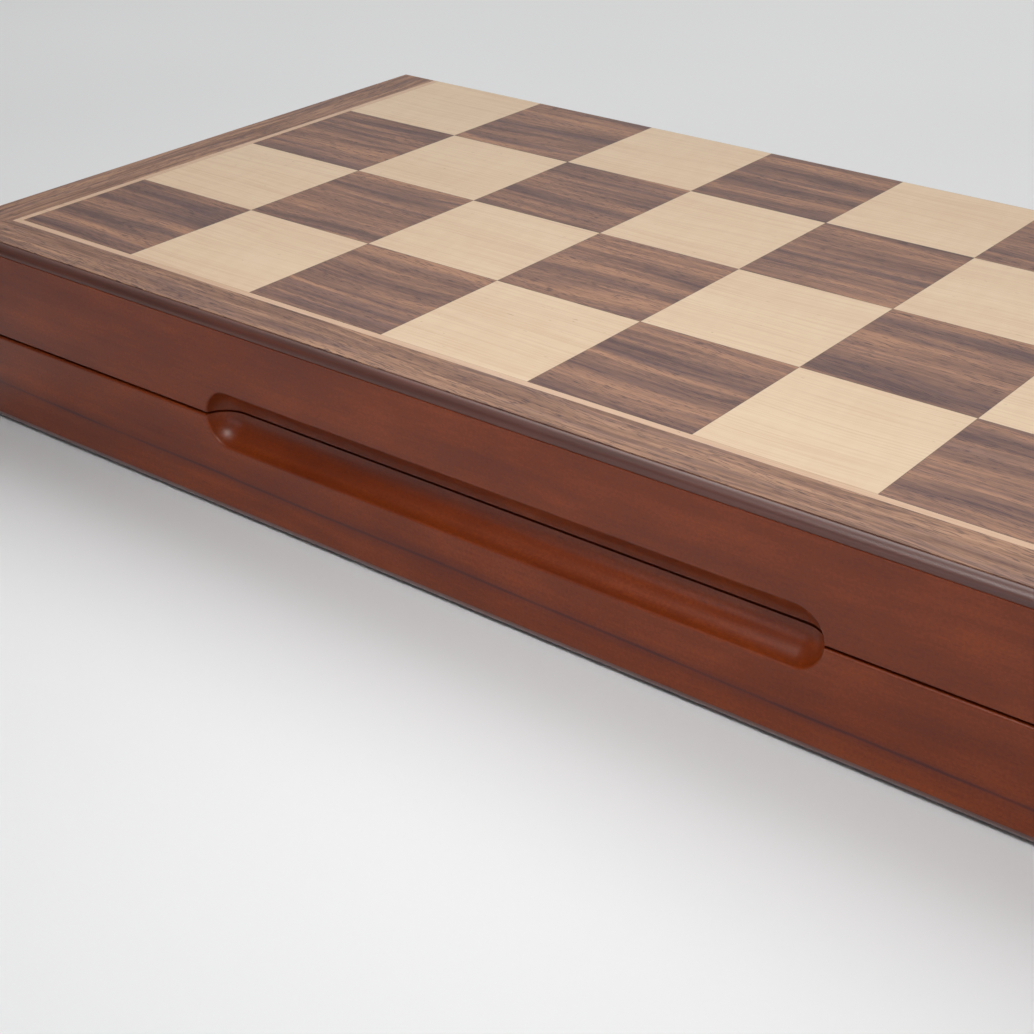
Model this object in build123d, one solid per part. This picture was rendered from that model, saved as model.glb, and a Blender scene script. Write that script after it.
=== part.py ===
"""Folding wooden chess set, closed as a box, in millimetres.

Two halves, each half of an 8 x 8 board, are hinged along their back edges and close face to face
on the parting plane. The playing faces are outside, the storage trays inside.
X runs along the hinge, -Y is the front with the finger groove, +Z is up.
The origin is the centre of the closed box's footprint, on the surface it lies on.
"""
from build123d import *
from math import sqrt
import os

# --- board -------------------------------------------------------------------------------------
SQUARE = 43.3            # side of one playing square
FILES = 8                # squares along the hinge
RANKS = 4                # squares from the front to the hinge, on each half
INLAY = 2.0              # light line round the squares
BORDER = 12.5            # dark veneer border
LIP = 2.8                # square section that the rounded edge lipping fills
LIP_RADIUS = 2.55        # its round, so that both ends leave a fine step
VENEER = 0.6
HALF_HEIGHT = 26.5       # playing face to parting plane
RIM_GAP = 0.3            # each rim stops this far short of the parting plane
PANEL = 6.0              # veneer and core inside the rails
MARGIN = INLAY + BORDER + LIP
HALF_LENGTH = FILES * SQUARE / 2 + MARGIN          # outer face, from the centre, along X
HALF_DEPTH = (RANKS * SQUARE + MARGIN) / 2         # outer face, from the centre, along Y
RIM = HALF_HEIGHT - RIM_GAP

# --- rails -------------------------------------------------------------------------------------
RAIL = 11.0              # thickness of the four rails of each half
ARRIS = 0.6              # softened outer edge of a rim
GROOVE_RADIUS = 7.4      # ball-nosed cutter of the finger groove
GROOVE_DEPTH = 6.0
GROOVE_LENGTH = 173.5    # tip to tip, on the face
GROOVE_MOUTH = sqrt(GROOVE_RADIUS**2 - (GROOVE_RADIUS - GROOVE_DEPTH) ** 2)
INNER_X = HALF_LENGTH - RAIL
INNER_Y = HALF_DEPTH - RAIL

# --- hinges ------------------------------------------------------------------------------------
HINGE_X = 115.0          # hinge centres, left and right of the middle
AXIS_Y = HALF_DEPTH + 0.15
AXIS_Z = HALF_HEIGHT
KNUCKLES = 5
KNUCKLE = 8.0            # length of one knuckle
KNUCKLE_GAP = 0.3
KNUCKLE_RADIUS = 2.2
KNUCKLE_RELIEF = 2.5     # radius cut in the rails round the knuckles
PIN_RADIUS = 1.1
PIN_PLAY = 0.05
PIN_HEAD = 0.6           # length of the head at each end of a pin
PIN_HEAD_RADIUS = 1.76
LEAF_LENGTH = KNUCKLES * KNUCKLE
LEAF_DEPTH = 9.0         # from the outer face inwards
LEAF = 1.2               # leaf thickness
SCREW_SPACING = 13.0
SCREW_IN = 5.6           # screw centres, from the outer face
SCREW_RADIUS = 1.1
SCREW_HEAD = 2.1
SCREW_LENGTH = 11.0
SCREW_TIP = 2.0

# --- magnets -----------------------------------------------------------------------------------
MAGNET_X = 150.0
MAGNET_RADIUS = 3.0
MAGNET = 3.0
MAGNET_SUNK = 0.1

# --- lining and storage ------------------------------------------------------------------------
FELT = 1.0
FOAM_PLAY = 0.25         # gap between the foam and the rails
FOAM_DEPTH = 82.5        # front to back
FOAM_TOP = 24.0
POCKET_FLOOR = 8.5
POCKET_PLAY = 0.4
PIECE_PLAY = 0.2         # gap under a stored piece
BASE_Y = -80.5           # foot of every stored piece, apart from the second row of pawns
PAWN_PITCH = 39.5        # from the first row of pawns to the second
PIECE_FELT = 0.8
FELT_IN = 0.8            # the felt disc is this much smaller than the foot

# Height and foot radius of each kind of piece.
SIZES = {
    "king": (76.0, 15.0),
    "queen": (68.0, 14.0),
    "bishop": (57.0, 13.0),
    "knight": (52.0, 13.5),
    "rook": (43.0, 13.0),
    "pawn": (36.0, 11.5),
}
KNIGHT_FOOT_WIDTH = 13.0   # thickness of the knight's head at its foot
KNIGHT_EAR_WIDTH = 7.0     # and at its ears
# Half width of each kind's pocket above the foot.
BODY_POCKET = {
    "king": 10.0,
    "queen": 10.0,
    "bishop": 8.5,
    "knight": 11.6,
    "rook": 10.6,
    "pawn": 7.6,
}
FOOT_POCKET = 12.0       # length of the wide part of a pocket
POCKET_ROUND = 1.5       # corner radius at a pocket's far end
# The kinds in the pockets from left to right; each pawn column holds two.
COLUMNS = [
    "pawn", "pawn", "rook", "knight", "bishop", "queen",
    "king", "bishop", "knight", "rook", "pawn", "pawn",
]

LOW = Align.MIN
MID = Align.CENTER


def block(x0, x1, y0, y1, z0, z1):
    """A box between six planes."""
    return Pos(x0, y0, z0) * Box(x1 - x0, y1 - y0, z1 - z0, align=(LOW, LOW, LOW))


def prism(corners, z0, z1):
    """A plan polygon raised from z0 to z1."""
    outline = make_face(Polyline(*[(x, y, z0) for x, y in corners], close=True))
    return extrude(outline, amount=z1 - z0, dir=(0, 0, 1))


def mirrored(shape):
    """The same shape in the upper half, reflected in the parting plane."""
    return mirror(shape, about=Plane.XY.offset(HALF_HEIGHT))


def turned_over(shape):
    """The same shape in the upper half, turned half a turn about the box's long centre line."""
    return Pos(0, 0, HALF_HEIGHT) * Rot(180, 0, 0) * Pos(0, 0, -HALF_HEIGHT) * shape


def save(name, *shapes):
    """Writes one node; several shapes stay separate solids."""
    solids = [solid for shape in shapes for solid in shape.solids()]
    shape = solids[0] if len(solids) == 1 else Compound(children=solids)
    export_step(shape, f"parts/{name}.step")


# --- plan shapes of the frame ------------------------------------------------------------------
def strip_plan(side, outer, inner, hinge_mitre=False):
    """Plan of a strip between two insets from the outline, mitred at the front corners.

    At the hinge edge it is cut square, or mitred for the rails, which go all round.
    """
    x0, x1 = HALF_LENGTH - outer, HALF_LENGTH - inner
    y0, y1 = HALF_DEPTH - outer, HALF_DEPTH - inner
    if side == "front":
        return [(-x0, -y0), (x0, -y0), (x1, -y1), (-x1, -y1)]
    if side == "back":
        return [(-x0, y0), (x0, y0), (x1, y1), (-x1, y1)]
    back0, back1 = (y0, y1) if hinge_mitre else (HALF_DEPTH, HALF_DEPTH)
    sign = -1 if side == "left" else 1
    return [(sign * x0, -y0), (sign * x1, -y1), (sign * x1, back1), (sign * x0, back0)]


# --- playing face ------------------------------------------------------------------------------
def squares(parity):
    """The squares of one colour on the lower playing face."""
    left, front = -FILES * SQUARE / 2, HALF_DEPTH - RANKS * SQUARE
    found = []
    for file in range(FILES):
        for rank in range(RANKS):
            if (file + rank) % 2 == parity:
                x, y = left + file * SQUARE, front + rank * SQUARE
                found.append(block(x, x + SQUARE, y, y + SQUARE, 0, VENEER))
    return found


def border_strip(side):
    """One dark veneer strip of the lower playing face."""
    return prism(strip_plan(side, LIP, LIP + BORDER), 0, VENEER)


def inlay_lines():
    """The three light lines of the lower playing face."""
    plans = [strip_plan(side, LIP + BORDER, MARGIN) for side in ("front", "left", "right")]
    return [prism(plan, 0, VENEER) for plan in plans]


def lipping():
    """The three rounded strips that edge the lower panel; the hinge edge has none."""
    length, depth = 2 * HALF_LENGTH, 2 * HALF_DEPTH
    along_x = Rot(0, 90, 0) * Cylinder(LIP_RADIUS, length)
    along_y = Rot(90, 0, 0) * Cylinder(LIP_RADIUS, depth)
    rods = {
        "front": Pos(0, -HALF_DEPTH + LIP, LIP) * along_x,
        "left": Pos(-HALF_LENGTH + LIP, 0, LIP) * along_y,
        "right": Pos(HALF_LENGTH - LIP, 0, LIP) * along_y,
    }
    return [rod & prism(strip_plan(side, 0, LIP), 0, LIP) for side, rod in rods.items()]


def panel_core():
    """The board under the veneer, rabbeted so that its middle drops between the rails."""
    edge = block(
        -HALF_LENGTH + LIP, HALF_LENGTH - LIP, -HALF_DEPTH + LIP, HALF_DEPTH, VENEER, LIP
    )
    middle = block(-INNER_X, INNER_X, -INNER_Y, INNER_Y, LIP, PANEL)
    return edge + middle


# --- rails -------------------------------------------------------------------------------------
def finger_groove():
    """The cutter's path: a rod with ball ends on the parting plane."""
    reach = GROOVE_LENGTH / 2 - GROOVE_MOUTH
    centre_y = -HALF_DEPTH + GROOVE_DEPTH - GROOVE_RADIUS
    rod = Rot(0, 90, 0) * Cylinder(GROOVE_RADIUS, 2 * reach)
    balls = [Pos(x, 0, 0) * Sphere(GROOVE_RADIUS) for x in (-reach, reach)]
    return Pos(0, centre_y, HALF_HEIGHT) * (rod + balls[0] + balls[1])


def rail(side):
    """One plain lower rail with a softened outer rim edge."""
    bar = prism(strip_plan(side, 0, RAIL, hinge_mitre=True), LIP, RIM)
    if side == "back":
        return bar - hinge_mortise(-HINGE_X) - hinge_mortise(HINGE_X)
    if side == "front":
        bar = bar - finger_groove() - magnet_discs(MAGNET + MAGNET_SUNK)
        face_edges = bar.edges().filter_by_position(Axis.Y, -HALF_DEPTH - 0.01, -HALF_DEPTH + 0.01)
        rim_edges = [edge for edge in face_edges if edge.center().Z > LIP + 1]
        return fillet([edge for edge in rim_edges if edge.bounding_box().size.X > 1], ARRIS)
    outer = -HALF_LENGTH if side == "left" else HALF_LENGTH
    side_edges = bar.edges().filter_by_position(Axis.X, outer - 0.01, outer + 0.01)
    return fillet(side_edges.sort_by(Axis.Z)[-1], ARRIS)


def magnet_discs(length):
    """Two discs of this length, for the magnets or their holes, up from the holes' floors."""
    disc = Cylinder(MAGNET_RADIUS, length, align=(MID, MID, LOW))
    floor = RIM - MAGNET - MAGNET_SUNK
    return [Pos(x, -HALF_DEPTH + RAIL / 2, floor) * disc for x in (-MAGNET_X, MAGNET_X)]


# --- hinges ------------------------------------------------------------------------------------
def rod_x(radius, x0, x1):
    """A rod on the hinge axis."""
    return Pos((x0 + x1) / 2, AXIS_Y, AXIS_Z) * Rot(0, 90, 0) * Cylinder(radius, x1 - x0)


def knuckle_span(x, index):
    """Where one knuckle of the hinge at x starts and ends."""
    start = x - LEAF_LENGTH / 2 + index * KNUCKLE
    return start + KNUCKLE_GAP / 2, start + KNUCKLE - KNUCKLE_GAP / 2


def screw_places(x):
    """Centres of one leaf's screws, on the rim."""
    return [(x + step * SCREW_SPACING, HALF_DEPTH - SCREW_IN) for step in (-1, 0, 1)]


def screw():
    """A countersunk wood screw with its head flush at z = 0 and a straight driver slot."""
    head = Pos(0, 0, -LEAF) * Cone(SCREW_RADIUS, SCREW_HEAD, LEAF, align=(MID, MID, LOW))
    shank = Cylinder(SCREW_RADIUS, SCREW_LENGTH - SCREW_TIP, align=(MID, MID, Align.MAX))
    tip = Pos(0, 0, -SCREW_LENGTH) * Cone(0.15, SCREW_RADIUS, SCREW_TIP, align=(MID, MID, LOW))
    slot = Box(2 * SCREW_HEAD, 0.5, 0.8)
    return head + shank + tip - slot


def lower_leaf(x):
    """A hinge leaf set flush in the lower back rail, with the outer and middle knuckles."""
    leaf = block(
        x - LEAF_LENGTH / 2, x + LEAF_LENGTH / 2, HALF_DEPTH - LEAF_DEPTH, AXIS_Y, RIM - LEAF, RIM
    )
    return shaped_leaf(leaf, x, own=range(0, KNUCKLES, 2), bore=PIN_RADIUS)


def upper_leaf(x):
    """Its partner in the upper back rail, which turns on the pin."""
    leaf = block(
        x - LEAF_LENGTH / 2, x + LEAF_LENGTH / 2, HALF_DEPTH - LEAF_DEPTH, AXIS_Y,
        2 * HALF_HEIGHT - RIM, 2 * HALF_HEIGHT - RIM + LEAF,
    )
    return shaped_leaf(leaf, x, own=range(1, KNUCKLES, 2), bore=PIN_RADIUS + PIN_PLAY)


def shaped_leaf(leaf, x, own, bore):
    """Adds a leaf's knuckles, clears its partner's, and cuts the pin bore and the countersinks."""
    for index in range(KNUCKLES):
        start, end = knuckle_span(x, index)
        if index in own:
            leaf = leaf + rod_x(KNUCKLE_RADIUS, start, end)
        else:
            leaf = leaf - rod_x(KNUCKLE_RELIEF, start - KNUCKLE_GAP, end + KNUCKLE_GAP)
    leaf = leaf - rod_x(bore, x - LEAF_LENGTH, x + LEAF_LENGTH)
    lower = leaf.center().Z < HALF_HEIGHT
    sink = Pos(0, 0, -LEAF) * Cone(SCREW_RADIUS, SCREW_HEAD, LEAF, align=(MID, MID, LOW))
    for place in screw_places(x):
        cut = Pos(*place, RIM) * sink
        leaf = leaf - (cut if lower else mirrored(cut))
    return leaf


def hinge_pin(x):
    """The pin, with a thin flat head at each end of the knuckles."""
    half = LEAF_LENGTH / 2
    pin = rod_x(PIN_RADIUS, x - half, x + half)
    pin = pin + rod_x(PIN_HEAD_RADIUS, x - half - PIN_HEAD, x - half)
    return pin + rod_x(PIN_HEAD_RADIUS, x + half, x + half + PIN_HEAD)


def hinge_mortise(x):
    """What the lower back rail loses to a leaf, its knuckles and its screws."""
    half = LEAF_LENGTH / 2
    seat = block(x - half, x + half, HALF_DEPTH - LEAF_DEPTH, AXIS_Y, RIM - LEAF, AXIS_Z)
    cut = seat + rod_x(KNUCKLE_RELIEF, x - half - 0.8, x + half + 0.8)
    hole = Cylinder(SCREW_RADIUS, SCREW_LENGTH, align=(MID, MID, Align.MAX))
    for place in screw_places(x):
        cut = cut + Pos(*place, RIM) * hole
    return cut


def hinge_screws():
    """The six screws of the lower leaves."""
    return [Pos(*place, RIM) * screw() for x in (-HINGE_X, HINGE_X) for place in screw_places(x)]


# --- pieces ------------------------------------------------------------------------------------
def lathe(start, *steps):
    """Turns a half outline about Z. A step is (r, z) for a line, or (r, z, r_mid, z_mid) for an arc."""
    lines, here = [], Vector(start[0], 0, start[1])
    for step in steps:
        end = Vector(step[0], 0, step[1])
        if len(step) == 4:
            lines.append(ThreePointArc(here, Vector(step[2], 0, step[3]), end))
        else:
            lines.append(Line(here, end))
        here = end
    lines.append(Line(here, Vector(start[0], 0, start[1])))
    return revolve(make_face(Wire(lines)), Axis.Z)


def foot(r, neck, top):
    """Steps of the foot and the hollow stem shared by the turned pieces, up to (neck, top)."""
    shoulder = 0.80 * r
    return [
        (r - 0.5, 0),
        (r, 0.5, r - 0.15, 0.15),
        (r, 3.0),
        (r - 1.3, 4.6, r - 0.3, 4.2),
        (r - 1.3, 5.2),
        (shoulder, 7.2, r - 1.5, 6.6),
        (shoulder - 0.8, 7.2),
        (neck, top, neck + 0.16 * (shoulder - neck), 7.2 + 0.42 * (top - 7.2)),
    ]


def collar(r, neck, z, height, after):
    """Steps of a rounded double collar that ends at radius after."""
    mid = z + height * 0.55
    return [
        (neck + 1.0, z),
        (r, z + height * 0.27, r - 0.2, z + 0.3),
        (r - 0.6, mid, r - 0.1, z + height * 0.45),
        (r - 1.6, mid),
        (r - 1.6, mid + 0.5),
        (after, z + height, r - 1.7, z + height - 0.3),
    ]


def king():
    """Flared crown, domed top and a plain cross."""
    height, r = SIZES["king"]
    body = lathe(
        (0, 0), *foot(r, 5.0, 39), *collar(8.6, 5.0, 39, 5.0, 5.4),
        (8.4, 60, 6.2, 54), (8.4, 61.2), (7.4, 62), (2.6, 65.4, 5.6, 64.6), (2.2, 67), (0, 67),
    )
    upright = Pos(0, 0, 66.4) * Box(2.6, 2.4, height - 66.4, align=(MID, MID, LOW))
    arm = Pos(0, 0, 71.6) * Box(7.2, 2.4, 2.6)
    return body + upright + arm


def queen():
    """Flared crown with a scalloped rim and a ball."""
    height, r = SIZES["queen"]
    ball = 2.3
    body = lathe(
        (0, 0), *foot(r, 4.6, 35), *collar(8.0, 4.6, 35, 4.8, 5.0),
        (8.6, 58.6, 5.9, 50), (7.4, 59.4), (6.6, 58.8), (1.8, 64.2, 5.2, 62.4), (0, 64.2),
    )
    for step in range(8):
        body = body - Rot(0, 0, 45 * step) * Pos(9.6, 0, 60.4) * Sphere(2.6)
    return body + Pos(0, 0, height - ball) * Sphere(ball)


def bishop():
    """Pointed head with a slanting cut and a small ball."""
    height, r = SIZES["bishop"]
    ball = 1.9
    body = lathe(
        (0, 0), *foot(r, 4.2, 29), *collar(7.2, 4.2, 29, 4.4, 4.2),
        (6.6, 41, 5.8, 37), (1.6, 53.6, 5.4, 48.4), (0, 53.6),
    )
    cut = Pos(3.8, 0, 49.0) * Rot(0, -50, 0) * Box(9.0, 16, 1.5)
    return body - cut + Pos(0, 0, height - ball) * Sphere(ball)


def rook():
    """Thick stem and a hollow turret with six battlements."""
    height, r = SIZES["rook"]
    body = lathe(
        (0, 0), *foot(r, 6.4, 27), *collar(9.0, 6.4, 27, 3.8, 7.4),
        (9.6, 34.5, 7.8, 33.4), (9.6, height), (6.6, height), (6.6, height - 4.2), (0, height - 4.2),
    )
    for turn in (0, 60, 120):
        body = body - Pos(0, 0, height) * Rot(0, 0, turn) * Box(24, 2.6, 6.4)
    return body


def pawn():
    """Ball head on one collar."""
    height, r = SIZES["pawn"]
    ball = 6.2
    body = lathe(
        (0, 0), *foot(r, 3.8, 21.6), *collar(7.0, 3.8, 21.6, 3.4, 4.2), (4.2, 26.5), (0, 26.5),
    )
    return body + Pos(0, 0, height - ball) * Sphere(ball)


def knight():
    """Turned foot with a horse's head cut from a tapering board, nose towards +X."""
    height, r = SIZES["knight"]
    stand = lathe((0, 0), *foot(r, 9.6, 9.5), (9.6, 11.4, 10.2, 10.5), (0, 11.4))
    with BuildLine(Plane.XZ) as outline:
        Line((-8.8, 11.0), (8.6, 11.0))
        Spline([(8.6, 11.0), (8.4, 17.5), (4.2, 25.0), (3.6, 30.0)], tangents=[(0, 1), (0.2, 1)])
        Polyline((3.6, 30.0), (9.4, 29.2), (11.0, 32.6))
        Spline([(11.0, 32.6), (7.6, 40.0), (3.0, 46.4)], tangents=[(-0.2, 1), (-1, 1)])
        Polyline((3.0, 46.4), (1.6, height), (-1.6, 47.0))
        Spline(
            [(-1.6, 47.0), (-8.6, 37.5), (-9.8, 25.0), (-8.8, 11.0)],
            tangents=[(-1, -0.5), (0.15, -1)],
        )
    side = make_face(outline.line)
    board = extrude(side, amount=KNIGHT_FOOT_WIDTH, dir=(0, 1, 0), both=True)
    taper = [
        (0, -KNIGHT_FOOT_WIDTH / 2, 10), (0, KNIGHT_FOOT_WIDTH / 2, 10),
        (0, KNIGHT_EAR_WIDTH / 2, height), (0, -KNIGHT_EAR_WIDTH / 2, height),
    ]
    wedge = extrude(make_face(Polyline(*taper, close=True)), amount=20, dir=(1, 0, 0), both=True)
    return stand + (board & wedge)


MAKERS = {
    "king": king,
    "queen": queen,
    "bishop": bishop,
    "knight": knight,
    "rook": rook,
    "pawn": pawn,
}


# --- storage -----------------------------------------------------------------------------------
def places():
    """Every stored piece of the lower half: its kind, x, and the y of its foot."""
    widths = [2 * SIZES[kind][1] for kind in COLUMNS]
    web = (2 * INNER_X - sum(widths)) / (len(COLUMNS) + 1)
    x, found = -INNER_X, []
    for kind, width in zip(COLUMNS, widths):
        x += web + width / 2
        found.append((kind, x, BASE_Y))
        if kind == "pawn":
            found.append((kind, x, BASE_Y + PAWN_PITCH))
        x += width / 2
    return found


def lay_down(shape, kind, x, y):
    """Lays an upright shape on its side in its pocket, foot to the front and head to the hinge."""
    axis_z = POCKET_FLOOR + PIECE_PLAY + SIZES[kind][1]
    return Pos(x, y, axis_z) * Rot(-90, 0, 0) * shape


def pocket(kind, x, y):
    """The vertical-walled hole for one piece: a wide foot slot and a body slot with a round end."""
    height, r = SIZES[kind]
    wide, narrow = r + POCKET_PLAY, BODY_POCKET[kind]
    start, end = y - PIECE_FELT - POCKET_PLAY, y + height + POCKET_PLAY
    foot_slot = block(x - wide, x + wide, start, y + FOOT_POCKET, POCKET_FLOOR, RIM)
    body_slot = block(x - narrow, x + narrow, y, end, POCKET_FLOOR, RIM)
    corners = body_slot.edges().filter_by(Axis.Z).group_by(Axis.Y)[-1]
    return foot_slot + fillet(corners, POCKET_ROUND)


def foam_insert():
    """The lower half's foam block with its sixteen pockets."""
    foam = block(
        -INNER_X + FOAM_PLAY, INNER_X - FOAM_PLAY,
        -INNER_Y + FOAM_PLAY, -INNER_Y + FOAM_PLAY + FOAM_DEPTH, PANEL + FELT, FOAM_TOP,
    )
    for kind, x, y in places():
        foam = foam - pocket(kind, x, y)
    return foam


def army(colour, placed):
    """Writes one side's pieces and their felt discs; placed moves them from the lower half to theirs."""
    made = {kind: maker() for kind, maker in MAKERS.items()}
    stored = {kind: [] for kind in MAKERS}
    felts = []
    for kind, x, y in places():
        disc = Cylinder(SIZES[kind][1] - FELT_IN, PIECE_FELT, align=(MID, MID, Align.MAX))
        stored[kind].append(placed(lay_down(made[kind], kind, x, y)))
        felts.append(placed(lay_down(disc, kind, x, y)))
    for kind, shapes in stored.items():
        if kind == "pawn":
            save(f"{colour}_pawns", *shapes)
        elif kind in ("king", "queen"):
            save(f"{colour}_{kind}", shapes[0])
        else:
            save(f"{colour}_{kind}_1", shapes[0])
            save(f"{colour}_{kind}_2", shapes[1])
    save(f"{colour}_piece_felts", *felts)


def half(name, placed, dark_parity):
    """Writes one half's frame, playing face and lining; placed moves lower shapes to that half."""
    for side in ("front", "back", "left", "right"):
        save(f"{name}_{side}_rail", placed(rail(side)))
    save(f"{name}_panel_core", placed(panel_core()))
    save(f"{name}_dark_squares", *[placed(s) for s in squares(dark_parity)])
    save(f"{name}_light_squares", *[placed(s) for s in squares(1 - dark_parity)])
    for side in ("front", "left", "right"):
        save(f"{name}_border_{side}", placed(border_strip(side)))
    save(f"{name}_inlay_lines", *[placed(line) for line in inlay_lines()])
    save(f"{name}_edge_lipping", *[placed(strip) for strip in lipping()])
    felt = block(-INNER_X, INNER_X, -INNER_Y, INNER_Y, PANEL, PANEL + FELT)
    save(f"{name}_felt_liner", placed(felt))
    save(f"{name}_magnets", *[placed(disc) for disc in magnet_discs(MAGNET)])
    save(f"{name}_hinge_screws", *[placed(one) for one in hinge_screws()])


os.makedirs("parts", exist_ok=True)
half("lower", lambda shape: shape, dark_parity=1)
half("upper", mirrored, dark_parity=0)
for label, centre in (("left", -HINGE_X), ("right", HINGE_X)):
    save(f"{label}_hinge_lower_leaf", lower_leaf(centre))
    save(f"{label}_hinge_upper_leaf", upper_leaf(centre))
    save(f"{label}_hinge_pin", hinge_pin(centre))
insert = foam_insert()
save("lower_foam_insert", insert)
save("upper_foam_insert", turned_over(insert))
army("light", lambda shape: shape)
army("dark", turned_over)
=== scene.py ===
"""Looks for the folding chess set: materials, carved and soft pieces, light and camera."""
import math

import bmesh
import bpy
from mathutils import Matrix, Vector, geometry, kdtree, noise


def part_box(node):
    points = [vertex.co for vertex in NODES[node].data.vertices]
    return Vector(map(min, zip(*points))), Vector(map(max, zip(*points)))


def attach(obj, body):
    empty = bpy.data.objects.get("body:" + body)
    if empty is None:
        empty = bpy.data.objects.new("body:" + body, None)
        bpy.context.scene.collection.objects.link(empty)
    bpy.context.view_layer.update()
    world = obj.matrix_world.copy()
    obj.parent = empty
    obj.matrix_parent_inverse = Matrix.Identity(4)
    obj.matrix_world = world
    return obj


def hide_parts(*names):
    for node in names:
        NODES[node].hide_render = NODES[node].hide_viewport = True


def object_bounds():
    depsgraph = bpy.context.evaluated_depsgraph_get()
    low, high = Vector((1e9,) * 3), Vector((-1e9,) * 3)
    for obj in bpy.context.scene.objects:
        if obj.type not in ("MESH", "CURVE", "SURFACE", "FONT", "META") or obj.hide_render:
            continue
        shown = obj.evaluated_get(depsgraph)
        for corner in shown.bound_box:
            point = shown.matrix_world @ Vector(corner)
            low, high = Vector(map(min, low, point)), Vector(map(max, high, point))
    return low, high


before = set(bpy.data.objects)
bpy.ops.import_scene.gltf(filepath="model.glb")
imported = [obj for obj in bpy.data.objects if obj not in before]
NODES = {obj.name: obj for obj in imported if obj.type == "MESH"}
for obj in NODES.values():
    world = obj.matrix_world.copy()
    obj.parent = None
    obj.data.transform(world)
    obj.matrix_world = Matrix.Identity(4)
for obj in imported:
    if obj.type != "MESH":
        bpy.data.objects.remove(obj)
cad_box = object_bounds()
HALVES = ("lower", "upper")
MM = 0.001

MERGE = 0.002 * MM       # corners of a CAD mesh this close are the same corner

# The chequered area, in mm: the squares of one colour reach all four of its edges.
FILES = 8
squares_low, squares_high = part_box("upper_light_squares")
SQUARE = (squares_high.x - squares_low.x) / FILES / MM
LEFT, FRONT = squares_low.x / MM, squares_low.y / MM
GLUE_LINE = (0.04, 0.13)               # from a square's edge: fully dark, then gone
GRAIN_SHIFT = (310.0, 170.0, 90.0)     # the most that one square's grain is moved from its neighbour's

# The painted dark line of shade on the lower front rail, in mm.
SHADE_LINE_HEIGHT, SHADE_LINE_SLOPE = 10.2, -0.0115


def rgb(red, green, blue):
    """A colour given as it looks on a screen, 0 to 255, in Blender's linear values."""
    screen = [level / 255 for level in (red, green, blue)]
    linear = [c / 12.92 if c <= 0.04 else ((c + 0.055) / 1.055) ** 2.4 for c in screen]
    return (*linear, 1.0)


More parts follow.
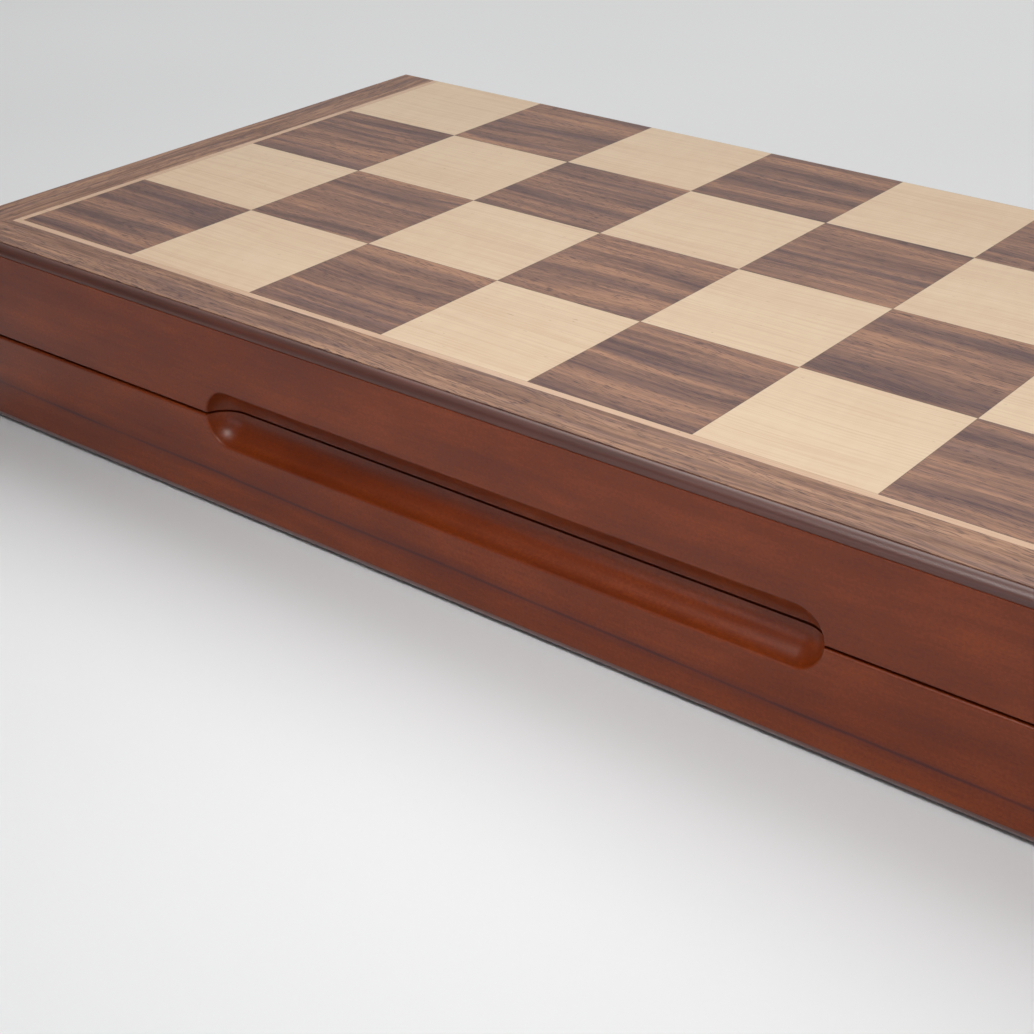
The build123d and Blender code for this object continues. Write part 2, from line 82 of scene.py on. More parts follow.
# --- material graph ----------------------------------------------------------------------------
class Graph:
    """One material's node tree, with short calls for the nodes it uses."""

    def __init__(self, name, **fixed):
        self.material = bpy.data.materials.new(name)
        self.material.use_nodes = True
        self.tree = self.material.node_tree
        self.shader = self.tree.nodes["Principled BSDF"]
        for socket, value in fixed.items():
            self.shader.inputs[socket.replace("_", " ")].default_value = value
        place = self.add("ShaderNodeTexCoord")
        self.place = self.scaled(place.outputs["Object"], 1 / MM)
        split = self.add("ShaderNodeSeparateXYZ", Vector=self.place)
        self.x, self.y, self.z = split.outputs

    def add(self, kind, settings=None, **inputs):
        node = self.tree.nodes.new(kind)
        for name, value in (settings or {}).items():
            setattr(node, name, value)
        for name, value in inputs.items():
            self.set(node.inputs[name.replace("_", " ")], value)
        return node

    def set(self, socket, value):
        if isinstance(value, bpy.types.NodeSocket):
            self.tree.links.new(value, socket)
        else:
            socket.default_value = value

    def math(self, operation, *values):
        node = self.add("ShaderNodeMath", {"operation": operation})
        for socket, value in zip(node.inputs, values):
            self.set(socket, value)
        return node.outputs[0]

    def vector(self, x, y, z=0.0):
        node = self.add("ShaderNodeCombineXYZ")
        for socket, value in zip(node.inputs, (x, y, z)):
            self.set(socket, value)
        return node.outputs[0]

    def weighted(self, *parts):
        """The sum of several values, each given with its weight."""
        total = 0.0
        for value, weight in parts:
            total = self.math("ADD", total, self.math("MULTIPLY", value, weight))
        return total

    def vmath(self, operation, a, b):
        node = self.add("ShaderNodeVectorMath", {"operation": operation})
        self.set(node.inputs[0], a)
        self.set(node.inputs[1], b)
        return node.outputs[0]

    def scaled(self, vector, amount):
        node = self.add("ShaderNodeVectorMath", {"operation": "SCALE"})
        self.set(node.inputs[0], vector)
        node.inputs["Scale"].default_value = amount
        return node.outputs[0]

    def turned(self, vector, degrees):
        node = self.add("ShaderNodeVectorRotate", {"rotation_type": "Z_AXIS"}, Vector=vector)
        node.inputs["Angle"].default_value = math.radians(degrees)
        return node.outputs[0]

    def noise(self, vector, sizes, detail=2.0, roughness=0.5, distortion=0.0):
        """Noise whose features measure sizes, in millimetres along x, y and z."""
        stretched = self.vmath("DIVIDE", vector, tuple(sizes))
        node = self.add("ShaderNodeTexNoise", Vector=stretched, Scale=1.0, Detail=detail)
        node.inputs["Roughness"].default_value = roughness
        node.inputs["Distortion"].default_value = distortion
        return node.outputs["Fac"]

    def fit(self, value, low, high, to_low=0.0, to_high=1.0):
        """The stretch of a value from low to high, mapped to the new limits and held there."""
        node = self.add("ShaderNodeMapRange", {"clamp": True}, Value=value)
        limits = {"From Min": low, "From Max": high, "To Min": to_low, "To Max": to_high}
        for name, number in limits.items():
            node.inputs[name].default_value = number
        return node.outputs[0]

    def ramp(self, value, *stops):
        node = self.add("ShaderNodeValToRGB", Fac=value)
        points = node.color_ramp.elements
        while len(points) < len(stops):
            points.new(0.5)
        for point, (position, colour) in zip(points, stops):
            point.position = position
            point.color = colour
        return node.outputs[0]

    def mix(self, factor, first, second):
        """From the first colour to the second; the mix node's colours are its inputs 6 and 7."""
        node = self.add("ShaderNodeMix", {"data_type": "RGBA"})
        self.set(node.inputs["Factor"], factor)
        self.set(node.inputs[6], first)
        self.set(node.inputs[7], second)
        return node.outputs[2]

    def stained(self, colour, mask, amount, stain):
        """The colour, with a stain laid over it where mask is 1."""
        return self.mix(self.math("MULTIPLY", mask, amount), colour, stain)

    def bump(self, height, distance_mm, strength=1.0):
        node = self.add("ShaderNodeBump", Height=height, Strength=strength, Distance=distance_mm * MM)
        return node.outputs[0]

    def finish(self, colour, roughness, normal=None):
        self.set(self.shader.inputs["Base Color"], colour)
        self.set(self.shader.inputs["Roughness"], roughness)
        if normal is not None:
            self.set(self.shader.inputs["Normal"], normal)
        return self.material


def square_cells(g):
    """A random colour for each board square, and 1 on the dark glue lines round it."""
    across = g.math("DIVIDE", g.math("SUBTRACT", g.x, LEFT), SQUARE)
    deep = g.math("DIVIDE", g.math("SUBTRACT", g.y, FRONT), SQUARE)
    cell = g.vector(g.math("FLOOR", across), g.math("FLOOR", deep))
    random = g.add("ShaderNodeTexWhiteNoise", {"noise_dimensions": "2D"}, Vector=cell).outputs["Color"]
    edges = []
    for value in (across, deep):
        centred = g.math("ABSOLUTE", g.math("SUBTRACT", g.math("FRACT", value), 0.5))
        edges.append(g.math("SUBTRACT", 0.5, centred))
    nearest = g.math("MULTIPLY", g.math("MINIMUM", *edges), SQUARE)
    return random, g.fit(nearest, *GLUE_LINE, 1.0, 0.0)


def along_y(g, place):
    """The same place with x and y swapped, for grain that runs along y."""
    split = g.add("ShaderNodeSeparateXYZ", Vector=place)
    return g.vector(split.outputs[1], split.outputs[0], split.outputs[2])


def veneer_place(g, cells, grain_y):
    """Where a veneer's grain is read, and 1 on the glue lines, or None where it has no squares."""
    place, seam = g.place, None
    if cells:
        random, seam = square_cells(g)
        place = g.vmath("ADD", place, g.vmath("MULTIPLY", random, GRAIN_SHIFT))
    if grain_y:
        place = along_y(g, place)
    return place, seam


def fine_wear(g, base, amount=0.06):
    """A roughness that varies a little, as hand-rubbed lacquer does."""
    cloud = g.noise(g.place, (38, 30, 30), 3)
    rub = g.noise(g.place, (4, 4, 4), 2)
    both = g.weighted((cloud, 0.7), (rub, 0.3))
    return g.fit(both, 0.3, 0.7, base - amount, base + amount)


# --- woods -------------------------------------------------------------------------------------
def walnut(name, dark, light, banding=0.5, cells=False, grain_y=False):
    """Straight-grained walnut veneer: soft bands, fine streaks and short slanting pores."""
    g = Graph(name, Specular_IOR_Level=0.28)
    place, seam = veneer_place(g, cells, grain_y)
    wave = g.noise(place, (75, 24, 40), 1)
    grain = g.vmath("ADD", place, g.vector(0.0, g.math("MULTIPLY", wave, 9.0)))
    bands = g.fit(g.noise(grain, (120, 6.5, 60), 2, 0.5), 0.36, 0.64)
    streaks = g.fit(g.noise(grain, (32, 1.3, 30), 3, 0.65), 0.36, 0.66)
    slant = g.turned(grain, 5)
    fibres = g.fit(g.noise(slant, (7, 0.36, 6), 2, 0.7), 0.36, 0.64)
    tone = g.weighted((bands, banding), (streaks, 0.84 - banding), (fibres, 0.16))
    middle = tuple(0.55 * a + 0.45 * b for a, b in zip(dark, light))
    colour = g.ramp(tone, (0.12, dark), (0.50, middle), (0.88, light))
    smoke = g.fit(g.noise(grain, (60, 3.0, 30), 2, 0.6), 0.52, 0.68)
    colour = g.stained(colour, smoke, 0.40, rgb(94, 72, 76))
    pores = g.fit(g.noise(slant, (3.2, 0.34, 3), 1, 0.5), 0.56, 0.63)
    clumps = g.fit(g.noise(grain, (20, 3.0, 20), 1), 0.36, 0.60, 0.4, 1.0)
    pores = g.math("MULTIPLY", pores, clumps)
    colour = g.stained(colour, pores, 0.74, rgb(66, 45, 48))
    height = g.math("SUBTRACT", g.math("MULTIPLY", fibres, 0.3), pores)
    if seam is not None:
        colour = g.stained(colour, seam, 0.75, rgb(52, 34, 28))
        height = g.math("SUBTRACT", height, seam)
    return g.finish(colour, fine_wear(g, 0.44), g.bump(height, 0.03, 0.5))


def maple(name, base, deep, cells=False):
    """Pale, close maple veneer with faint fine lines, a soft figure and rare small flecks."""
    g = Graph(name, Specular_IOR_Level=0.35)
    place, seam = veneer_place(g, cells, grain_y=False)
    wave = g.noise(place, (60, 30, 30), 1)
    grain = g.vmath("ADD", place, g.vector(0.0, g.math("MULTIPLY", wave, 5.0)))
    broad = g.fit(g.noise(grain, (130, 14, 40), 2), 0.3, 0.7)
    lines = g.fit(g.noise(grain, (36, 0.62, 20), 1, 0.5), 0.44, 0.66)
    fibres = g.noise(grain, (8, 0.22, 6), 2, 0.6)
    threads = g.fit(fibres, 0.35, 0.7)
    figure = g.fit(g.noise(g.turned(place, 78), (11, 3.5, 9), 1), 0.3, 0.7)
    tone = g.weighted((lines, 0.34), (broad, 0.22), (threads, 0.16), (figure, 0.12))
    fleck = g.fit(g.noise(grain, (2.2, 0.5, 2), 0), 0.84, 0.87)
    colour = g.stained(g.stained(base, tone, 0.76, deep), fleck, 0.5, rgb(150, 110, 80))
    height = fibres
    if seam is not None:
        colour = g.stained(colour, seam, 0.6, rgb(110, 72, 52))
        height = g.math("SUBTRACT", g.math("MULTIPLY", height, 0.4), seam)
    return g.finish(colour, fine_wear(g, 0.42), g.bump(height, 0.02, 0.4))


def mahogany(name, grain_y=False, shade_line=False):
    """Reddish-brown stain over a plain close wood, under satin lacquer, with a painted dark line of shade
    if asked.
    """
    g = Graph(name, Specular_IOR_Level=0.25, Coat_Weight=0.2, Coat_Roughness=0.26)
    place = along_y(g, g.place) if grain_y else g.place
    wave = g.noise(place, (110, 30, 26), 1)
    shift = g.math("MULTIPLY", wave, 7.0)
    grain = g.vmath("ADD", place, g.vector(0.0, shift, shift))
    cloud = g.fit(g.noise(grain, (34, 15, 13), 3, 0.55), 0.3, 0.7)
    streaks = g.fit(g.noise(grain, (70, 3.2, 3.2), 3, 0.6), 0.3, 0.7)
    fibres = g.noise(grain, (5, 0.35, 0.35), 2, 0.6)
    threads = g.fit(fibres, 0.3, 0.7)
    speck = g.fit(g.noise(g.place, (0.7, 0.7, 0.7), 2), 0.3, 0.7)
    tone = g.weighted((cloud, 0.40), (streaks, 0.22), (threads, 0.14), (speck, 0.24))
    colour = g.ramp(tone, (0.1, rgb(92, 33, 8)), (0.5, rgb(113, 44, 9)), (0.9, rgb(136, 58, 14)))
    pores = g.fit(g.noise(grain, (3.2, 0.24, 0.24), 1), 0.66, 0.74)
    colour = g.stained(colour, pores, 0.35, rgb(70, 30, 22))
    # Painted shade: a dark line laid into the colour of the lower front rail.
    if shade_line:
        colour = g.stained(colour, painted_shade_line(g), 0.85, rgb(56, 25, 29))
    height = g.math("SUBTRACT", g.math("MULTIPLY", fibres, 0.35), g.math("MULTIPLY", pores, 0.5))
    return g.finish(colour, fine_wear(g, 0.37), g.bump(height, 0.02, 0.45))


def painted_shade_line(g):
    """1 along a painted dark line of shade that falls slowly towards the right on the lower front rail."""
    wobble = g.math("MULTIPLY", g.math("SUBTRACT", g.noise(g.place, (70, 9, 9), 2), 0.5), 1.6)
    line = g.math("ADD", g.math("MULTIPLY", g.x, SHADE_LINE_SLOPE), SHADE_LINE_HEIGHT)
    off = g.math("ABSOLUTE", g.math("SUBTRACT", g.z, g.math("ADD", line, wobble)))
    core = g.fit(off, 0.1, 0.75, 1.0, 0.0)
    halo = g.fit(off, 0.2, 2.6, 0.35, 0.0)
    patchy = g.fit(g.noise(g.place, (26, 5, 5), 2), 0.3, 0.6, 0.55, 1.0)
    return g.math("MULTIPLY", g.math("MAXIMUM", core, halo), patchy)


def lipping():
    """Dark stained moulding with a smooth lacquered round."""
    g = Graph("dark_lipping", Specular_IOR_Level=0.5, Coat_Weight=0.7, Coat_Roughness=0.34)
    grain = g.fit(g.noise(g.place, (40, 1.2, 1.2), 3), 0.3, 0.7)
    colour = g.ramp(grain, (0.0, rgb(70, 31, 20)), (1.0, rgb(92, 43, 27)))
    return g.finish(colour, fine_wear(g, 0.46, 0.05), g.bump(grain, 0.02, 0.3))


def plywood():
    """Stained plywood edge: thin plies, alternately along and across the grain."""
    g = Graph("plywood_core", Specular_IOR_Level=0.3)
    ply = g.math("FRACT", g.math("DIVIDE", g.z, 1.5))
    cross = g.fit(g.math("ABSOLUTE", g.math("SUBTRACT", ply, 0.5)), 0.23, 0.27)
    fibre = g.noise(g.place, (1.4, 1.4, 0.2), 3)
    along = g.ramp(fibre, (0.3, rgb(120, 74, 46)), (0.7, rgb(146, 95, 62)))
    ends = g.ramp(fibre, (0.3, rgb(84, 50, 34)), (0.7, rgb(104, 64, 42)))
    return g.finish(g.mix(cross, along, ends), 0.7, g.bump(fibre, 0.05, 0.6))


def turned_wood(name, dark, light, gloss):
    """Turned pieces that lie along y: rings seen as long lines, with faint lathe marks."""
    g = Graph(name, Specular_IOR_Level=0.45, Coat_Weight=0.25, Coat_Roughness=0.18)
    wave = g.math("MULTIPLY", g.noise(g.place, (40, 60, 40), 1), 6.0)
    grain = g.vmath("ADD", g.place, g.vector(wave, 0.0, wave))
    rings = g.fit(g.noise(grain, (1.9, 42, 1.9), 3, 0.55), 0.3, 0.7)
    broad = g.fit(g.noise(grain, (12, 90, 12), 2), 0.3, 0.7)
    fibres = g.noise(grain, (0.25, 6, 0.25), 2)
    lathe = g.noise(g.place, (60, 0.35, 60), 1)
    colour = g.ramp(g.weighted((rings, 0.5), (broad, 0.5)), (0.1, dark), (0.9, light))
    height = g.weighted((fibres, 0.5), (lathe, 0.5))
    return g.finish(colour, fine_wear(g, gloss, 0.05), g.bump(height, 0.02, 0.4))


# --- metals and soft materials -----------------------------------------------------------------
def metal(name, bright, dull, grain_sizes):
    """Polished metal with fine rubbed lines and faint tarnish."""
    g = Graph(name, Metallic=1.0)
    tarnish = g.fit(g.noise(g.place, (5, 5, 5), 4, 0.6), 0.45, 0.75)
    lines = g.noise(g.place, grain_sizes, 2)
    roughness = g.fit(g.math("ADD", lines, g.math("MULTIPLY", tarnish, 0.5)), 0.3, 1.1, 0.2, 0.42)
    return g.finish(g.mix(tarnish, bright, dull), roughness, g.bump(lines, 0.01, 0.4))


def felt():
    """Pressed wool felt: matted fibres and a soft nap."""
    g = Graph("green_felt", Specular_IOR_Level=0.15, Sheen_Weight=0.5, Sheen_Roughness=0.55)
    g.shader.inputs["Sheen Tint"].default_value = rgb(120, 190, 140)
    fibres = g.noise(g.place, (0.5, 0.5, 0.5), 5, 0.75, 1.2)
    tufts = g.noise(g.place, (3.2, 3.2, 3.2), 3, 0.6)
    broad = g.noise(g.place, (45, 45, 45), 2)
    tone = g.weighted((fibres, 0.6), (tufts, 0.25), (broad, 0.15))
    colour = g.ramp(tone, (0.3, rgb(14, 58, 34)), (0.7, rgb(40, 104, 64)))
    return g.finish(colour, 0.95, g.bump(tone, 0.35, 0.8))


def foam():
    """Fine closed-cell foam: matt, with tiny cells."""
    g = Graph("storage_foam", Specular_IOR_Level=0.25)
    cells = g.add("ShaderNodeTexVoronoi", Vector=g.place, Scale=1.7).outputs["Distance"]
    fine = g.noise(g.place, (0.35, 0.35, 0.35), 3)
    broad = g.noise(g.place, (18, 18, 18), 3)
    tone = g.weighted((cells, 0.4), (fine, 0.6))
    mottled = g.weighted((tone, 0.7), (broad, 0.3))
    colour = g.ramp(mottled, (0.25, rgb(30, 31, 33)), (0.75, rgb(58, 59, 62)))
    return g.finish(colour, 0.85, g.bump(tone, 0.12, 0.7))


def dress(node, material):
    """Gives a CAD node one material."""
    slots = NODES[node].data.materials
    slots.clear()
    slots.append(material)


walnut_dark, walnut_light = rgb(88, 62, 59), rgb(170, 125, 96)
border_dark, border_light = rgb(110, 76, 60), rgb(176, 134, 105)
WALNUT = walnut("walnut_squares", walnut_dark, walnut_light, cells=True)
BORDER_X = walnut("walnut_border", border_dark, border_light, banding=0.22)
BORDER_Y = walnut("walnut_border_side", border_dark, border_light, banding=0.22, grain_y=True)
MAPLE = maple("maple_squares", rgb(219, 195, 164), rgb(194, 154, 122), cells=True)
INLAY = maple("maple_inlay", rgb(207, 175, 147), rgb(184, 142, 110))
RAIL_X = mahogany("mahogany_rail")
RAIL_Y = mahogany("mahogany_side_rail", grain_y=True)
RAIL_SHADE_LINED = mahogany("mahogany_front_rail", shade_line=True)
LIPPING = lipping()
PLYWOOD = plywood()
BOXWOOD = turned_wood("boxwood", rgb(190, 146, 88), rgb(222, 184, 124), 0.34)
EBONISED = turned_wood("ebonised_wood", rgb(26, 18, 16), rgb(46, 32, 27), 0.30)
BRASS = metal("hinge_brass", rgb(196, 156, 88), rgb(146, 110, 58), (30, 0.15, 0.15))
SCREW_BRASS = metal("screw_brass", rgb(182, 142, 80), rgb(132, 98, 50), (0.6, 0.6, 0.1))
NICKEL = metal("nickel_plate", rgb(176, 175, 170), rgb(136, 134, 130), (0.8, 0.8, 0.8))
FELT = felt()
FOAM = foam()

BOTH_HALVES = {
    "dark_squares": WALNUT, "light_squares": MAPLE, "inlay_lines": INLAY, "edge_lipping": LIPPING,
    "border_front": BORDER_X, "border_left": BORDER_Y, "border_right": BORDER_Y,
    "panel_core": PLYWOOD, "back_rail": RAIL_X, "left_rail": RAIL_Y, "right_rail": RAIL_Y,
    "magnets": NICKEL, "hinge_screws": SCREW_BRASS,
}
for half in HALVES:
    for part, material in BOTH_HALVES.items():
        dress(f"{half}_{part}", material)
dress("upper_front_rail", RAIL_X)
dress("lower_front_rail", RAIL_SHADE_LINED)
for node in NODES:
    if "_hinge_" in node and not node.endswith("screws"):
        dress(node, BRASS)
for army, wood in (("light", BOXWOOD), ("dark", EBONISED)):
    for node in NODES:
        if node.startswith(army + "_") and not node.endswith("felts"):
            dress(node, wood)


# --- pieces made here --------------------------------------------------------------------------
def stand_in(name, bm, material, body):
    """Makes a finished bmesh, in metres, into the piece that stands for the CAD node of that name."""
    mesh = bpy.data.meshes.new(name)
    bm.to_mesh(mesh)
    bm.free()
    mesh.shade_smooth()
    mesh.set_sharp_from_angle(angle=math.radians(40))
    mesh.materials.append(material)
    piece = bpy.data.objects.new(f"shaped_{name}", mesh)
    bpy.context.scene.collection.objects.link(piece)
    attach(piece, body)
    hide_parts(name)
    return piece


FELT_THICKNESS = 0.9 * MM
FELT_RIPPLE = 0.07 * MM
RIPPLE_SIZE = 9 * MM
FOAM_ROUND = 0.55 * MM
DISC_IN = 0.1 * MM       # a felt disc is this much smaller in radius than its CAD solid
# The pressed edge of a disc: how far in from its radius, and at what share of its thickness.
DISC_EDGE = [
    (0.35 * MM, 0), (0.1 * MM, 0.1), (0, 0.35), (0, 0.65), (0.1 * MM, 0.9), (0.35 * MM, 1),
]


def felt_liner(half):
    """The felt glued in a tray: a 1 mm sheet with soft cut edges and a faintly uneven face."""
    node = f"{half}_felt_liner"
    low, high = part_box(node)
    middle = (low + high) / 2
    bm = bmesh.new()
    bmesh.ops.create_grid(bm, x_segments=120, y_segments=56, size=0.5)
    for vert in bm.verts:
        x, y = vert.co.x * (high.x - low.x), vert.co.y * (high.y - low.y)
        ripple = noise.fractal(Vector((x, y, middle.z)) / RIPPLE_SIZE, 1.0, 2.0, 3)
        vert.co = (middle.x + x, middle.y + y, middle.z + FELT_RIPPLE * ripple)
    piece = stand_in(node, bm, FELT, f"{half}_half")
    thicken = piece.modifiers.new("thickness", "SOLIDIFY")
    thicken.thickness = FELT_THICKNESS
    thicken.offset = 0
    soften = piece.modifiers.new("cut_edge", "BEVEL")
    soften.width = 0.3 * MM
    soften.segments = 2
    soften.angle_limit = math.radians(60)


def foam_insert(half):
    """The foam block and its pockets, with the rounded edges of die-cut foam."""
    node = f"{half}_foam_insert"
    bm = bmesh.new()
    bm.from_mesh(NODES[node].data)
    bmesh.ops.remove_doubles(bm, verts=bm.verts, dist=MERGE)
    bmesh.ops.dissolve_limit(bm, angle_limit=math.radians(1), verts=bm.verts, edges=bm.edges)
    sharp = [edge for edge in bm.edges if edge.calc_face_angle(0) > math.radians(35)]
    bmesh.ops.bevel(bm, geom=sharp, offset=FOAM_ROUND, offset_type="OFFSET", segments=3, profile=0.5,
                    affect="EDGES", clamp_overlap=False)
    bmesh.ops.triangulate(bm, faces=[face for face in bm.faces if len(face.verts) > 4])
    piece = stand_in(node, bm, FOAM, f"{half}_half")
    piece.modifiers.new("normals", "WEIGHTED_NORMAL").keep_sharp = True


def islands(mesh):
    """The lowest and highest corner of every separate solid of a mesh."""
    bm = bmesh.new()
    bm.from_mesh(mesh)
    bmesh.ops.remove_doubles(bm, verts=bm.verts, dist=MERGE)
    left, found = set(bm.verts), []
    while left:
        group, todo = [], [left.pop()]
        while todo:
            vert = todo.pop()
            group.append(vert.co.copy())
            near = {edge.other_vert(vert) for edge in vert.link_edges} & left
            left -= near
            todo += near
        axes = list(zip(*group))
        found.append((Vector([min(a) for a in axes]), Vector([max(a) for a in axes])))
    bm.free()
    return sorted(found, key=lambda corners: tuple(corners[0]))


def ring_solid(bm, rings, place, segments=72):
    """Adds a closed turned solid from rings of (radius, height); place(x, y, height) gives a point."""
    loops = []
    for number, (radius, height) in enumerate(rings):
        loop = []
        for step in range(segments):
            turn = 2 * math.pi * step / segments
            loop.append(bm.verts.new(place(radius * math.cos(turn), radius * math.sin(turn), height)))
        loops.append(loop)
    for below, above in zip(loops, loops[1:]):
        for step in range(segments):
            after = (step + 1) % segments
            bm.faces.new((below[step], below[after], above[after], above[step]))
    bm.faces.new(reversed(loops[0]))
    bm.faces.new(loops[-1])


def piece_felts(army, half):
    """Felt discs glued under one side's pieces, with pressed, slightly ragged edges."""
    node = f"{army}_piece_felts"
    bm = bmesh.new()
    for low, high in islands(NODES[node].data):
        centre, thick = (low + high) / 2, high.y - low.y
        radius = (high.x - low.x) / 2 - DISC_IN

        def place(x, z, height):
            spot = Vector((centre.x + x, low.y + height, centre.z + z))
            ragged = 1 + 0.008 * noise.noise(spot / (0.9 * MM))
            return (centre.x + x * ragged, spot.y, centre.z + z * ragged)

        ring_solid(bm, [(radius - inwards, share * thick) for inwards, share in DISC_EDGE], place)
    bmesh.ops.recalc_face_normals(bm, faces=bm.faces)
    piece = stand_in(node, bm, FELT, f"{half}_half")


# --- carved knights ----------------------------------------------------------------------------
# The head's outline from the side, in mm: x towards the nose, z up from the foot's underside.
FACE = [
    (8.7, 10.6), (9.3, 14.5), (8.9, 18.5), (7.0, 23.0), (4.5, 27.0), (3.6, 29.4),
    (5.6, 29.6), (8.0, 28.6), (9.9, 28.9), (10.7, 30.6), (10.9, 33.0), (10.0, 35.6),
    (8.2, 38.8), (6.6, 42.2), (5.0, 45.2), (3.0, 47.4), (0.0, 48.0), (-2.6, 47.2),
]
MANE = [
    (-5.6, 44.0), (-8.0, 39.4), (-9.4, 34.0), (-9.8, 28.0), (-9.6, 21.0), (-9.0, 15.0), (-8.9, 10.6),
]
OUTLINE_STEPS = 36       # samples from one point of the outline to the next
RIM_STEP = 6             # every sixth of them is a corner of the mesh
NECK_FOOT, EAR_TIP = 10.6, 52.0
EYE = (4.5, 41.2)
# Rounded rises and hollows of each side of the head: how high, where, and their radius.
MODELLING = [
    (1.0, (2.6, 36.6), 6.4),       # cheek
    (-0.9, (0.6, 29.6), 4.6),      # throat
    (0.5, (4.6, 43.2), 2.6),       # brow
    (1.1, EYE, 0.95),              # eyeball
    (-1.1, EYE, 1.7),              # eye socket
    (-0.9, (9.3, 33.4), 1.0),      # nostril
]
MOUTH = [(10.4 - 0.5 * step, 30.8 + 0.1 * step) for step in range(9)]
MANE_WIDTH, LOCK_LENGTH, LOCK_SLANT = 5.6, 3.1, 4.2
GRID_LEFT, GRID_PITCH, GRID_COLUMNS, GRID_ROWS = -10.5, 0.55, 40, 69
EAR_BASE, EAR_TOP, EAR_LENGTH, EAR_CENTRE = 1.8, 0.3, 6.0, (0.6, 1.9, 49)
VOXEL = 0.36
# The turned foot, as (radius, height) in mm.
FOOT_RINGS = [
    (12.9, 0.0), (13.35, 0.15), (13.5, 0.6), (13.5, 2.9), (13.35, 3.6), (12.9, 4.3), (12.2, 4.7),
    (12.2, 5.2), (12.15, 6.1), (11.7, 6.8), (10.8, 7.2), (10.0, 7.2), (9.75, 7.9), (9.6, 9.2),
    (10.0, 9.7), (10.2, 10.4), (9.9, 11.1), (9.3, 11.4),
]


def smooth_loop(points, steps):
    """A closed Catmull-Rom curve through the points."""
    found = []
    for i in range(len(points)):
        before, start, end, after = (Vector(points[(i + k) % len(points)]) for k in (-1, 0, 1, 2))
        for step in range(steps):
            t = step / steps
            bend = (2 * before - 5 * start + 4 * end - after) * t ** 2
            twist = (3 * start - before - 3 * end + after) * t ** 3
            found.append(0.5 * (2 * start + (end - before) * t + bend + twist))
    return found


def dip(spot, centre, radius):
    """1 at the centre, falling smoothly to 0 at radius."""
    away = (spot - Vector(centre)).length / radius
    return max(0.0, 1 - away * away) ** 2


def carving(spot, inset, along, on_mane):
    """Half thickness of the head at a place on its side view, all in mm.

    inset is the place's distance from the outline, and along is its way round the outline.
    """
    rise = (spot.y - NECK_FOOT) / (EAR_TIP - NECK_FOOT)
    half = 6.5 - 2.7 * rise - 0.9 * min(max((spot.x - 5.5) / 5, 0), 1)
    half *= math.sqrt(1 - (1 - min(inset / 3.4, 1)) ** 2)
    half += sum(height * dip(spot, centre, radius) for height, centre, radius in MODELLING)
    half -= 0.8 * max(dip(spot, point, 0.62) for point in MOUTH)
    if on_mane and inset < MANE_WIDTH:
        lock = 0.5 + 0.5 * math.sin(2 * math.pi * (along / LOCK_LENGTH - inset / LOCK_SLANT))
        half += min((MANE_WIDTH - inset) / 0.7, 1) * min(inset / 1.2, 1) * (0.75 * lock ** 0.6 - 0.25)
    return max(half, 0.0)


def knight_head():
    """The mesh of a knight's neck and head, in mm and upright, with two ears, joined and smoothed."""
    outline = smooth_loop(FACE + MANE, OUTLINE_STEPS)
    walked = [0.0]
    for here, after in zip(outline, outline[1:]):
        walked.append(walked[-1] + (after - here).length)
    tree = kdtree.KDTree(len(outline))
    for number, point in enumerate(outline):
        tree.insert((*point, 0), number)
    tree.balance()
    rim = outline[::RIM_STEP]
    grid = [
        Vector((GRID_LEFT + i * GRID_PITCH, NECK_FOOT + j * GRID_PITCH))
        for i in range(GRID_COLUMNS) for j in range(GRID_ROWS)
    ]
    grid = [spot for spot in grid if tree.find((*spot, 0))[2] > 0.3]
    edges = [(i, (i + 1) % len(rim)) for i in range(len(rim))]
    spots, _, triangles, *_ = geometry.delaunay_2d_cdt(rim + grid, edges, [], 1, 0.001)
    bm = bmesh.new()
    for side in (1, -1):
        carved = []
        for spot in spots:
            _, number, inset = tree.find((*spot, 0))
            half = carving(spot, inset, walked[number], number >= OUTLINE_STEPS * len(FACE))
            carved.append(bm.verts.new((spot.x, side * half, spot.y)))
        for triangle in triangles:
            bm.faces.new([carved[i] for i in triangle])
    bmesh.ops.delete(bm, geom=[vert for vert in bm.verts if not vert.link_faces], context="VERTS")
    bmesh.ops.remove_doubles(bm, verts=bm.verts, dist=0.02)
    for side in (1, -1):
        add_ear(bm, side)
    bmesh.ops.recalc_face_normals(bm, faces=bm.faces)
    return joined(bm)


def add_ear(bm, side):
    """A pointed ear on one side of the head, 1 or -1, leaning outwards and back."""
    x, y, z = EAR_CENTRE
    lean = Matrix.Rotation(math.radians(-9 * side), 4, "X") @ Matrix.Rotation(math.radians(-6), 4, "Y")
    shape = Matrix.Translation((x, y * side, z)) @ lean @ Matrix.Diagonal((1.3, 0.8, 1, 1))
    bmesh.ops.create_cone(bm, cap_ends=True, segments=16, radius1=EAR_BASE, radius2=EAR_TOP,
                          depth=EAR_LENGTH, matrix=shape)


def joined(bm):
    """One smooth closed mesh from overlapping closed shapes."""
    mesh = bpy.data.meshes.new("rough")
    bm.to_mesh(mesh)
    bm.free()
    rough = bpy.data.objects.new("rough", mesh)
    bpy.context.scene.collection.objects.link(rough)
    remesh = rough.modifiers.new("join", "REMESH")
    remesh.mode = "VOXEL"
    remesh.voxel_size = VOXEL
    smooth = rough.modifiers.new("smooth", "SMOOTH")
    smooth.factor = 0.5
    smooth.iterations = 2
    ready = rough.evaluated_get(bpy.context.evaluated_depsgraph_get())
    found = bpy.data.meshes.new_from_object(ready)
    bpy.data.objects.remove(rough)
    return found


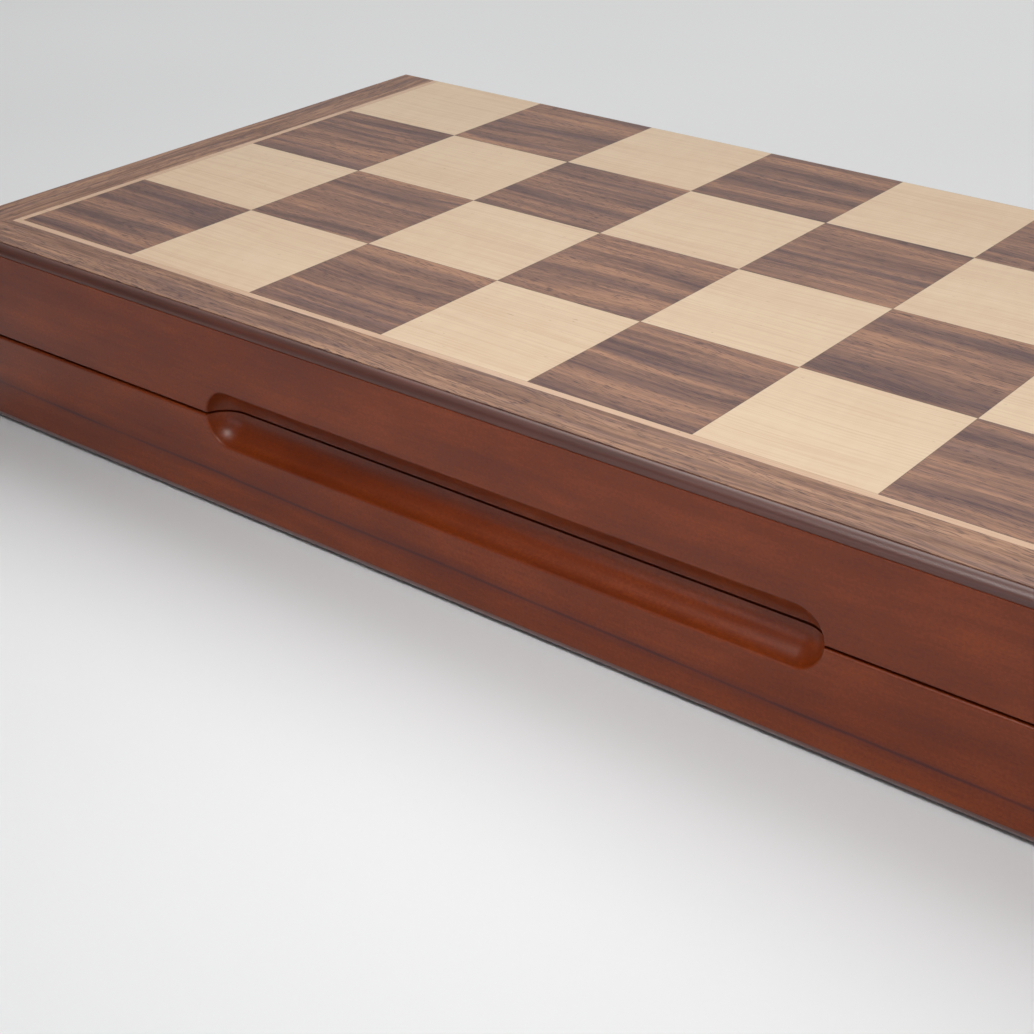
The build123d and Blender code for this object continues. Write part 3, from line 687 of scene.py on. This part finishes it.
def knight(node, head, material, half):
    """One knight, lying in its pocket with its nose along +X, as its CAD solid does."""
    low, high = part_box(node)
    centre = (low + high) / 2
    base, way = (low.y, 1) if half == "lower" else (high.y, -1)
    bm = bmesh.new()
    bm.from_mesh(head)
    ring_solid(bm, FOOT_RINGS, lambda x, y, z: (x, y, z))
    for vert in bm.verts:
        x, y, z = vert.co * MM
        vert.co = (centre.x + x, base + way * z, centre.z - way * y)
    bmesh.ops.recalc_face_normals(bm, faces=bm.faces)
    stand_in(node, bm, material, f"{half}_half")


HEAD = knight_head()
for half, army, wood in (("lower", "light", BOXWOOD), ("upper", "dark", EBONISED)):
    felt_liner(half)
    foam_insert(half)
    piece_felts(army, half)
    for number in (1, 2):
        knight(f"{army}_knight_{number}", HEAD, wood, half)


# --- stage -------------------------------------------------------------------------------------
# Where the camera stands, in metres, and which way it looks. Its right-hand direction sets its roll.
CAMERA_PLACE = (0.23036, -0.37165, 0.22209)
CAMERA_FORWARD = (-0.5466, 0.6878, -0.4777)
CAMERA_RIGHT = (0.7846, 0.6200, -0.0051)
LENS, SENSOR_WIDTH = 64.72, 36


def floor():
    """A wide pale floor under the box."""
    bpy.ops.mesh.primitive_plane_add(size=14, location=(0, 0, cad_box[0][2] - 0.2 * MM))
    plane = bpy.context.object
    plane.name = "floor"
    g = Graph("pale_floor", Specular_IOR_Level=0.2)
    mottle = g.noise(g.place, (300, 300, 300), 2)
    colour = g.ramp(mottle, (0.3, rgb(227, 227, 227)), (0.7, rgb(231, 231, 231)))
    plane.data.materials.append(g.finish(colour, 0.9))


def area_light(name, place, target, size, power, colour=(1, 1, 1), spread=180):
    light = bpy.data.lights.new(name, "AREA")
    light.shape = "RECTANGLE"
    light.spread = math.radians(spread)
    light.size, light.size_y = size
    light.energy = power
    light.color = colour
    lamp = bpy.data.objects.new(name, light)
    bpy.context.scene.collection.objects.link(lamp)
    lamp.location = place
    lamp.rotation_euler = (Vector(target) - Vector(place)).to_track_quat("-Z", "Y").to_euler()


def camera():
    """The photograph's view: from the front, to the right and above, rolled by a third of a degree."""
    data = bpy.data.cameras.new("camera")
    data.sensor_width = SENSOR_WIDTH
    data.lens = LENS
    eye = bpy.data.objects.new("camera", data)
    bpy.context.scene.collection.objects.link(eye)
    forward = Vector(CAMERA_FORWARD).normalized()
    right = Vector(CAMERA_RIGHT)
    right = (right - right.dot(forward) * forward).normalized()
    turn = Matrix((right, right.cross(forward), -forward)).transposed()
    eye.matrix_world = Matrix.Translation(CAMERA_PLACE) @ turn.to_4x4()
    bpy.context.scene.camera = eye


def studio():
    """Plain soft light: a wide box above the back, three in front, and a surround brighter at the back."""
    area_light("overhead", (-0.2, 0.62, 1.1), (-0.05, 0.08, 0), (1.3, 0.9), 9.3)
    area_light("front_box", (-0.05, -0.72, 1.35), (0, 0, 0.03), (1.0, 0.6), 2.7)
    area_light("front_low", (-0.02, -0.85, 0.22), (0.05, -0.09, 0.04), (0.9, 0.2), 0.9, (0.9, 0.91, 1.0))
    area_light("front_key", (0.08, -0.39, 0.57), (0.06, -0.095, 0.03), (0.3, 0.16), 0.225, spread=56)
    world = bpy.data.worlds.new("studio")
    bpy.context.scene.world = world
    world.use_nodes = True
    tree = world.node_tree
    place = tree.nodes.new("ShaderNodeTexCoord")
    split = tree.nodes.new("ShaderNodeSeparateXYZ")
    level = tree.nodes.new("ShaderNodeMapRange")
    limits = {"From Min": -0.5, "From Max": 0.7, "To Min": 0.07, "To Max": 0.5}
    for name, number in limits.items():
        level.inputs[name].default_value = number
    tree.links.new(place.outputs["Generated"], split.inputs[0])
    tree.links.new(split.outputs["Y"], level.inputs["Value"])
    tree.links.new(level.outputs[0], tree.nodes["Background"].inputs["Strength"])
    tree.nodes["Background"].inputs["Color"].default_value = (0.97, 0.985, 1, 1)
    bpy.context.scene.view_settings.view_transform = "Standard"


floor()
studio()
camera()
